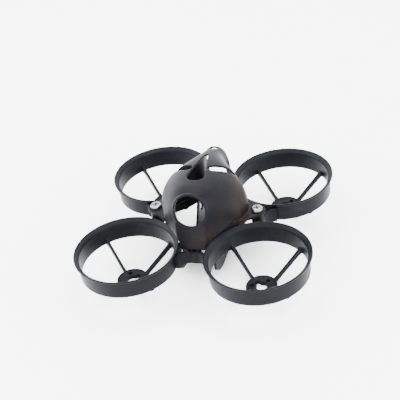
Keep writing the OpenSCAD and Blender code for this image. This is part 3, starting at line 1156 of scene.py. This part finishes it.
    def ear(self, sign: int, inside: Piece) -> Piece:
        """Makes one ear.

        Args:
            sign: -1 for the left ear, 1 for the right one.
            inside: the inner form, which stays clear.

        Returns:
            The ear.
        """
        lug, low, high = self.layout.lug_offset, self.ear_z, self.ear_z + self.ear_t
        (root_x, root_y), (neck_x, neck_y) = self.ear_root, self.ear_neck
        tip_x, tip_y = lug + self.ear_run, self.ear_r * self.ear_share
        half = [(root_x, -root_y), (neck_x, -neck_y), (tip_x, -tip_y)]
        outline = [(sign * x, y) for x, y in half + [(x, -y) for x, y in reversed(half)]]
        plate = prism("ear", outline, low, high)
        cut(plate, prism("tip", circle(self.ear_r, (sign * lug, 0), self.ear_turns), low, high), "UNION")
        for y in (-self.layout.half, self.layout.half):
            keep = circle(self.layout.lip_r + self.lip_gap, (sign * self.layout.half, y), self.lip_turns)
            cut(plate, prism("keep", keep, low - 1, high + 1))
        cut(plate, drill(self.ear_hole_r, low, high, (sign * lug, 0)))
        cut(plate, inside, keep=True)
        return plate

    def build(self) -> None:
        """Makes the shell, rim and ears as one moulding and settles it."""
        inside = self.form(self.shell_t, 1.0, 1.0)
        shell = self.form()
        cut(shell, inside, keep=True)
        for tool in [*self.vents(), self.bracket_space()]:
            cut(shell, tool)
        hole, rim_r = self.camera_hole_r, self.camera_hole_r + self.rim_w
        front, back = self.tool_front, self.tool_back
        cut(shell, self.to_camera(prism("hole", circle(hole, steps=self.hole_turns), front, back)))
        rim = self.form(-self.rim_proud)
        tube = [(hole, front), (rim_r, front), (rim_r, back), (hole, back)]
        cut(rim, self.to_camera(lathe("tube", tube, self.hole_turns)), "INTERSECT")
        cut(rim, inside, keep=True)
        parts = [shell, rim, self.ear(-1, inside), self.ear(1, inside)]
        bpy.data.objects.remove(inside)
        whole = merge("canopy_moulding", parts)
        mould(whole, self.grain)
        nodes = ["canopy_shell", "camera_rim", "canopy_ear_left", "canopy_ear_right"]
        settle(whole, self.finish, "canopy", nodes)


# ---------- screws ----------


@dataclass
class CanopyScrew:
    """A cross-head pan screw with a rolled thread."""

    layout: Layout
    label: str
    sign: int
    finish: Material
    head_z: float
    head_r: float = 2.05
    head_h: float = 1.2
    shank_r: float = 0.93
    shank_len: float = 5.0
    pitch: float = 0.45
    thread_h: float = 0.14
    recess_r: float = 1.35
    recess_w: float = 0.6
    recess_deep: float = 0.9
    recess_foot: float = 0.45
    recess_turn: float = 20.0
    side_share: float = 0.35
    dome_power: float = 0.55
    head_edge: float = 0.08
    pole_r: float = 0.02
    overlap: float = 0.2
    tip_share: float = 0.55
    tip_len: float = 1.2
    rings: int = 150
    dome_steps: int = 14
    head_turns: int = 96
    shank_turns: int = 48
    recess_over: float = 0.05
    arm_share: float = 0.6
    grain: float = 0.05

    def head(self) -> Piece:
        """Makes the domed head."""
        side = self.head_h * self.side_share
        dome = []
        for a in sweep(0, math.pi / 2, self.dome_steps):
            reach = self.head_r * math.cos(a) ** self.dome_power
            dome.append((reach, side + (self.head_h - side) * math.sin(a)))
        foot = [(self.head_r - self.head_edge, 0), (self.head_r, self.head_edge)]
        stations = [*foot, *dome[:-1], (self.pole_r, self.head_h)]
        loops = [[(x, y, self.head_z + z) for x, y in circle(r, steps=self.head_turns)] for r, z in stations]
        return loft("head", loops)

    def recess(self) -> Piece:
        """Makes the tool for the cross recess, narrower at its bottom."""
        loops = []
        for share, rise in ((self.recess_foot, -self.recess_deep), (1.0, self.recess_over)):
            long = self.recess_r * share
            wide = self.recess_w / 2 * (self.arm_share + (1 - self.arm_share) * share)
            arm = [(long, -wide), (long, wide), (wide, wide)]
            turns = [math.radians(self.recess_turn + 90 * k) for k in range(4)]
            z = self.head_z + (self.head_h + rise)
            loops.append([(x, y, z) for a in turns for x, y in spin(arm, a)])
        return loft("recess", loops)

    def shank(self) -> Piece:
        """Makes the threaded shank, tapering at its tip."""
        loops, count = [], self.rings
        for j in range(count + 1):
            z = -self.shank_len + (self.shank_len + self.overlap) * j / count
            tip = min(1.0, self.tip_share + (z + self.shank_len) / self.tip_len)
            loop = []
            for a in np.linspace(0, 2 * math.pi, self.shank_turns, endpoint=False):
                phase = (z / self.pitch - a / (2 * math.pi)) % 1
                r = (self.shank_r - self.thread_h * abs(2 * phase - 1)) * tip
                loop.append((r * math.cos(a), r * math.sin(a), self.head_z + z))
            loops.append(loop)
        return loft("shank", loops)

    def build(self) -> None:
        """Makes the screw and settles it."""
        head = self.head()
        cut(head, self.recess())
        screw = merge(f"{self.label}_screw", [head, self.shank()])
        mould(screw, self.grain, 2)
        screw.data.transform(Matrix.Translation((self.sign * self.layout.lug_offset, 0, 0)))
        settle(screw, self.finish, f"screw_{self.label}", [f"screw_{self.label}"])


# ---------- studio ----------


@dataclass
class Studio:
    """Floor, light and camera."""

    finish: Material
    azimuth: float = 19.48
    elevation: float = 34.61
    roll: float = -9.6
    target: tuple[float, float, float] = (-7.523, 16.488, 7.6)
    distance: float = 378.35
    focal: float = 91.82
    floor_half: float = 4000.0
    floor_gap: float = 0.05
    sensor: float = 36.0
    clip: tuple[float, float] = (0.01, 50.0)
    sky: Colour = (0.96, 0.97, 1.0, 1)
    fill: float = 6.2
    key: float = 1.8

    def floor(self) -> None:
        """Lays the paper under the object."""
        reach = self.floor_half * MM
        mesh = bpy.data.meshes.new("floor")
        corners = [(-reach, -reach), (reach, -reach), (reach, reach), (-reach, reach)]
        mesh.from_pydata([(x, y, -self.floor_gap * MM) for x, y in corners], [], [(0, 1, 2, 3)])
        mesh.materials.append(self.finish)
        link("floor", mesh)

    def lamp(self, name: str, at: tuple, size: float, power: float, shade: tuple = (1, 1, 1)) -> None:
        """Hangs a soft square lamp that faces the object.

        Args:
            name: its name.
            at: its place in metres.
            size: its side in metres.
            power: its power in watts.
            shade: its colour.
        """
        light = bpy.data.lights.new(name, "AREA")
        light.shape, light.size, light.energy, light.color = "SQUARE", size, power, shade
        lamp = link(name, light)
        lamp.location = at
        lamp.rotation_mode = "QUATERNION"
        lamp.rotation_quaternion = Vector(at).to_track_quat("Z", "Y")

    def surround(self, strength: float) -> None:
        """Fills the room with even light."""
        world = bpy.data.worlds.new("room")
        world.use_nodes = True
        sky = world.node_tree.nodes["Background"]
        sky.inputs["Color"].default_value = self.sky
        sky.inputs["Strength"].default_value = strength
        bpy.context.scene.world = world

    def camera(self) -> None:
        """Sets the camera."""
        a, e, roll = (math.radians(v) for v in (self.azimuth, self.elevation, self.roll))
        back = Vector((math.sin(a) * math.cos(e), -math.cos(a) * math.cos(e), math.sin(e)))
        right = Vector((math.cos(a), math.sin(a), 0))
        up = back.cross(right)
        across = right * math.cos(roll) + up * math.sin(roll)
        upward = up * math.cos(roll) - right * math.sin(roll)
        data = bpy.data.cameras.new("camera")
        data.lens, data.sensor_width = self.focal, self.sensor
        data.clip_start, data.clip_end = self.clip
        camera = link("camera", data)
        turn = Matrix((across, upward, back)).transposed().to_4x4()
        camera.matrix_world = Matrix.Translation((Vector(self.target) + back * self.distance) * MM) @ turn
        bpy.context.scene.camera = camera

    def build(self) -> None:
        """Sets up the whole studio."""
        self.floor()
        self.surround(self.fill)
        self.lamp("overhead", (0.05, 0.15, 0.7), 0.7, 6 * self.key)
        self.lamp("left", (-0.6, -0.1, 0.35), 0.4, 4 * self.key, (0.93, 0.96, 1.0))
        self.lamp("right", (0.6, -0.3, 0.3), 0.35, 2.5 * self.key, (1.0, 0.97, 0.94))
        self.camera()


# ---------- the whole object ----------


def main() -> None:
    """Builds every sub-assembly in order."""
    logging.basicConfig(level=logging.INFO, format="%(message)s")
    layout = Layout.from_frame()
    frame_black = MouldedPlastic(
        "frame_plastic",
        deep=(0.0016, 0.0018, 0.0028, 1),
        bloom=(0.0032, 0.0035, 0.0052, 1),
        rubbed=(0.012, 0.0125, 0.016, 1),
        roughness=0.42,
        specular=0.06,
    ).build()
    canopy_black = MouldedPlastic(
        "canopy_plastic",
        deep=(0.0022, 0.0021, 0.003, 1),
        bloom=(0.0042, 0.004, 0.0056, 1),
        rubbed=(0.013, 0.012, 0.0135, 1),
        # painted warm reflection, in random patches on the canopy
        warm_reflection=(0.0085, 0.0046, 0.0036, 1),
        roughness=0.42,
        grain=0.2,
        specular=0.045,
    ).build()
    head_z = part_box("canopy_ear_left")[1].z / MM + SEAT_GAP
    steel = TurnedSteel(
        "screw_steel",
        bright=(0.2, 0.2, 0.205, 1),
        dull=(0.11, 0.11, 0.115, 1),
        # painted shade in the cross recess
        recess_shade=(0.008, 0.008, 0.009, 1),
        axis_x=layout.lug_offset,
        recess_r=1.45,
        recess_z=head_z + 1.1,
    ).build()
    for corner in Corner:
        DuctUnit(layout, corner, frame_black).build()
    for side in Side:
        low, high = (corner.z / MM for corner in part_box(f"lug_{side.label}"))
        Bracket(layout, side, frame_black, high, high - low).build()
    BatteryTray(layout, frame_black).build()
    Canopy(layout, canopy_black).build()
    for label, sign in (("left", -1), ("right", 1)):
        CanopyScrew(layout, label, sign, steel, head_z).build()
    Studio(StudioPaper().build()).build()


if __name__ == "__main__":
    main()
